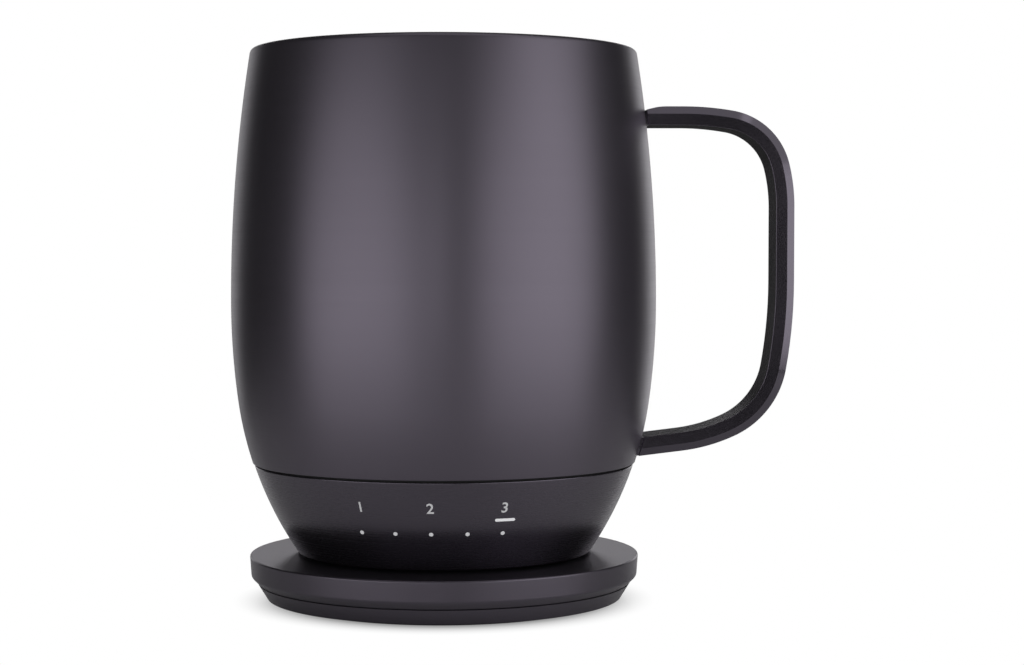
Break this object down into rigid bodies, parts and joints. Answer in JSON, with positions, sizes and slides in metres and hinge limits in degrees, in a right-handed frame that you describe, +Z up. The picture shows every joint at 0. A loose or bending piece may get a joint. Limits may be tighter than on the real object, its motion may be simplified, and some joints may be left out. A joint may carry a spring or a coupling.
{
  "type": "self-heating mug",
  "caption": "Barrel-shaped drinking mug that keeps its drink hot, with a bevelled strap handle and a base band of small lights, standing on a round charging coaster with sprung pins.",
  "frame": {"origin": "on the common axis of mug and coaster, in the plane of the table", "axes": "+Z up, +X towards the handle, -Y towards the row of lights, +Y towards the power button and the power inlet"},
  "size_m": [0.1252, 0.0948, 0.1226],
  "materials": {
    "shell_coat": "satin charcoal coat with a very fine turned texture",
    "base_coat": "satin charcoal, matched to the barrel",
    "handle_black": "satin black",
    "coaster_black": "smooth black with a soft sheen",
    "cover_black": "fine moulded grain",
    "liner_steel": "fine ring brushing",
    "hardware_steel": "plain bright steel",
    "aluminium_plate": "plain rolled sheet",
    "heater_amber": "amber film",
    "mica": "dull tan sheet",
    "rubber_black": "matt",
    "contact_metal": "bright plated contacts",
    "board_green": "circuit board",
    "chip_black": "moulded",
    "cell_sleeve": "shrink sleeve",
    "lens_white": "milky light guide",
    "lens_lit": "lit light guide",
    "lead_red": "sleeved lead",
    "lead_yellow": "sleeved lead"
  },
  "bodies": {
    "coaster": {"coaster_top": "coaster_black", "coaster_bottom": "coaster_black", "coaster_foot_ring": "rubber_black", "coaster_screws": "hardware_steel", "coaster_board": "board_green", "coaster_board_chips": "chip_black", "power_inlet_shell": "hardware_steel", "power_inlet_tongue": "chip_black", "pin_sleeves": "contact_metal", "pin_spring_inner": "hardware_steel", "pin_spring_outer": "hardware_steel"},
    "mug": {"mug_shell": "shell_coat", "mug_liner": "liner_steel", "liner_studs": "hardware_steel", "heater_nuts": "hardware_steel", "heat_spreader": "aluminium_plate", "heater_film": "heater_amber", "mica_disc": "mica", "clamp_plate": "hardware_steel", "temperature_sensor": "chip_black", "handle": "handle_black", "handle_plates": "hardware_steel", "handle_screws": "hardware_steel", "base_housing": "base_coat", "base_seal": "rubber_black", "mounting_ring": "hardware_steel", "base_screws": "hardware_steel", "bottom_cover": "cover_black", "cover_seal": "rubber_black", "cover_screws": "hardware_steel", "mug_foot_ring": "rubber_black", "contact_ring_inner": "contact_metal", "contact_ring_outer": "contact_metal", "main_board": "board_green", "main_board_chips": "chip_black", "board_screws": "hardware_steel", "battery_tray": "cover_black", "tray_screws": "hardware_steel", "battery_cell_1": "cell_sleeve", "battery_cell_2": "cell_sleeve", "battery_tabs": "hardware_steel", "indicator_board": "board_green", "indicator_leds": "lens_white", "indicator_ribbon": "heater_amber", "dot_lenses": "lens_white", "level_bar_lens": "lens_lit", "button_spring": "hardware_steel", "button_switch": "chip_black", "switch_board": "board_green", "switch_screws": "hardware_steel", "heater_leads": "lead_red", "battery_leads": "lead_red", "switch_leads": "lead_yellow"},
    "button": {"power_button": "handle_black"},
    "plunger": {"switch_plunger": "contact_metal"},
    "inner_pin": {"contact_pin_inner": "contact_metal"},
    "outer_pin": {"contact_pin_outer": "contact_metal"}
  },
  "joints": [
    {"name": "mug_lift", "type": "slide", "parent": "coaster", "child": "mug", "axis": [0, 0, 1], "range_m": [0, 0.08]},
    {"name": "button_press", "type": "slide", "parent": "mug", "child": "button", "axis": [0, -0.9054, 0.4246], "range_m": [0, 0.0006], "stiffness_N_per_m": 1200, "springref_m": -0.0003, "deforming": ["button_spring"]},
    {"name": "plunger_press", "type": "slide", "parent": "mug", "child": "plunger", "axis": [0, -0.9054, 0.4246], "range_m": [0, 0.0006]},
    {"name": "inner_pin_press", "type": "slide", "parent": "coaster", "child": "inner_pin", "axis": [0, 0, -1], "range_m": [0, 0.0008], "stiffness_N_per_m": 300, "springref_m": -0.0006, "deforming": ["pin_spring_inner"]},
    {"name": "outer_pin_press", "type": "slide", "parent": "coaster", "child": "outer_pin", "axis": [0, 0, -1], "range_m": [0, 0.0008], "stiffness_N_per_m": 300, "springref_m": -0.0006, "deforming": ["pin_spring_outer"]}
  ],
  "couplings": [
    {"joint": "plunger_press", "follows": "button_press", "ratio": 1}
  ]
}
